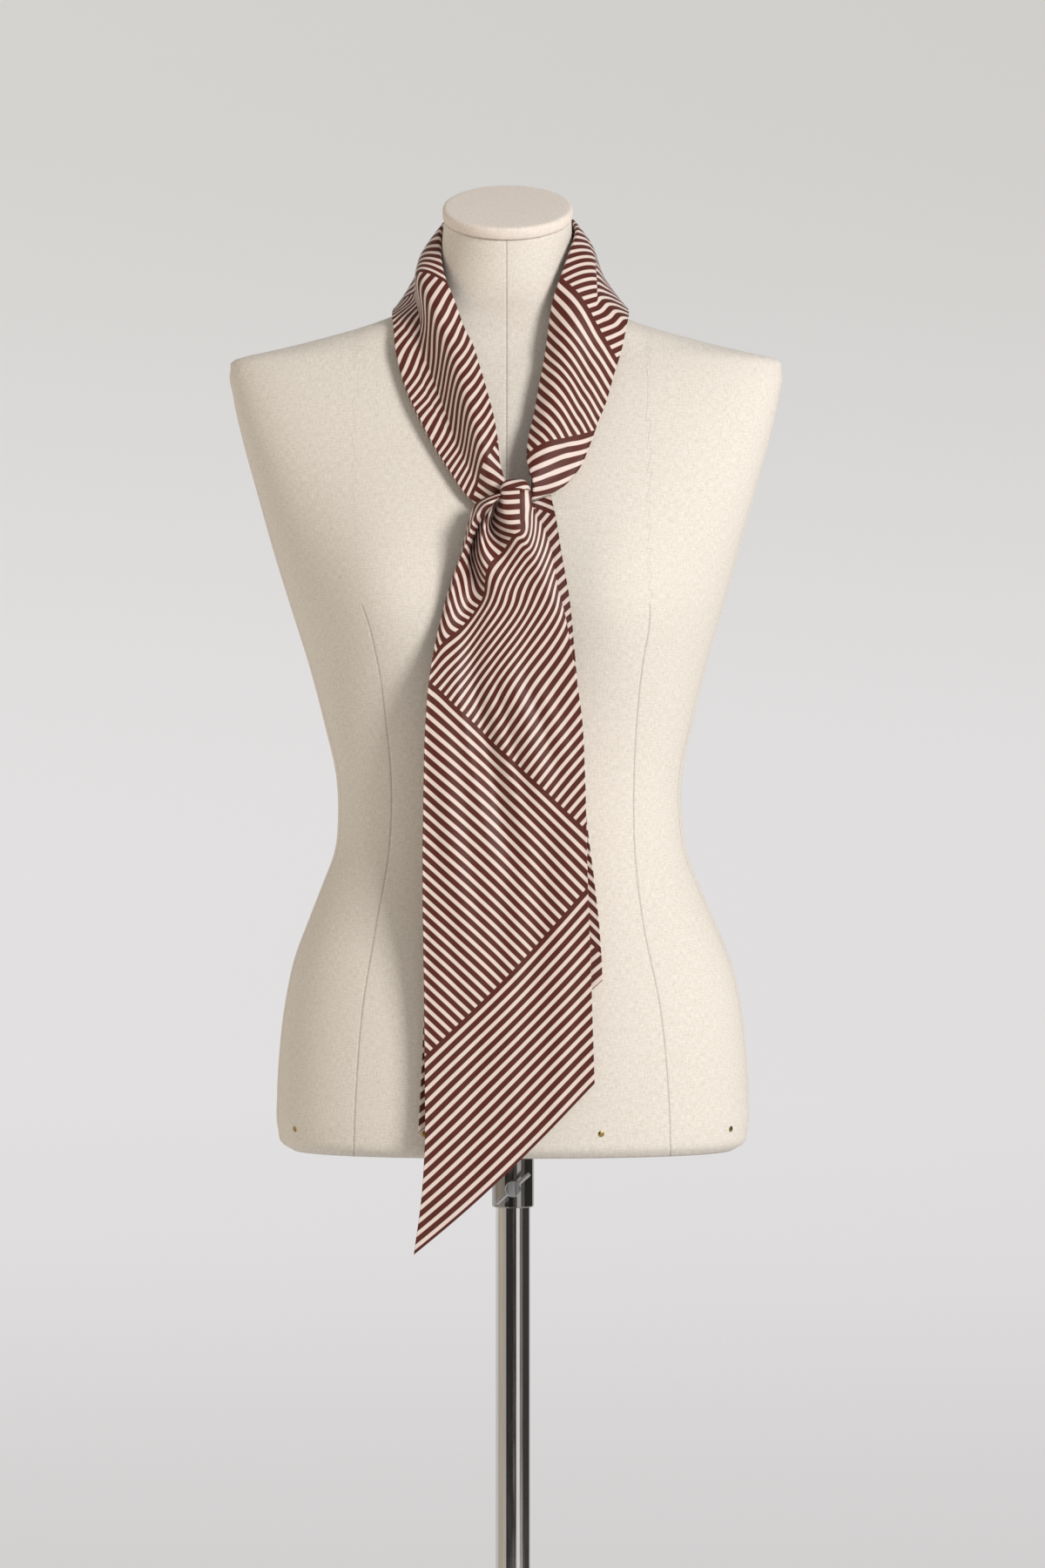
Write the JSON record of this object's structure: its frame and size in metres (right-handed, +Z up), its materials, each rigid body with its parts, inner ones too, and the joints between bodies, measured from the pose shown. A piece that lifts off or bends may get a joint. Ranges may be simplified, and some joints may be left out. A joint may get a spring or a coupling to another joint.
{
  "type": "knotted silk scarf on a dress form",
  "caption": "Long slim scarf in mitred diagonal stripes, knotted once round the neck of a limbless linen dress form on a chrome pole with a round foot.",
  "frame": {"origin": "centre of the foot's underside, on the pole's axis, at floor level", "axes": "+Z up along the pole, -Y out of the front of the dress form, +X to the viewer's right as it is seen from the front"},
  "size_m": [0.4, 0.4, 1.4449],
  "materials": {
    "striped_silk": "silk twill, brown and pale pink stripes, soft sheen",
    "linen": "natural linen, plain weave, matt",
    "cap_linen": "natural linen glued over a disc, matt",
    "brass": "aged brass",
    "chrome": "polished chrome plate"
  },
  "bodies": {
    "foot": {"stand_base": "chrome"},
    "pole": {"stand_pole": "chrome"},
    "form": {"form_torso": "linen", "form_neck_cap": "cap_linen", "form_tack_1": "brass", "form_tack_2": "brass", "form_tack_3": "brass", "form_tack_4": "brass", "form_tack_5": "brass", "form_tack_6": "brass", "form_tack_7": "brass", "form_tack_8": "brass", "form_sleeve": "chrome", "scarf_neck_left": "striped_silk", "scarf_neck_back": "striped_silk", "scarf_neck_right": "striped_silk", "scarf_knot": "striped_silk", "scarf_front_tail": "striped_silk", "scarf_back_tail": "striped_silk"},
    "screw": {"clamp_screw": "chrome"}
  },
  "joints": [
    {"name": "pole_swivel", "type": "hinge", "parent": "foot", "child": "pole", "pos_m": [0, 0, 0.06], "axis": [0, 0, 1], "continuous": true},
    {"name": "height_slide", "type": "slide", "parent": "pole", "child": "form", "axis": [0, 0, 1], "range_m": [-0.1, 0.12]},
    {"name": "clamp_turn", "type": "hinge", "parent": "form", "child": "screw", "pos_m": [0, -0.02, 0.751], "axis": [0, -1, 0], "range_deg": [-360, 45]}
  ]
}
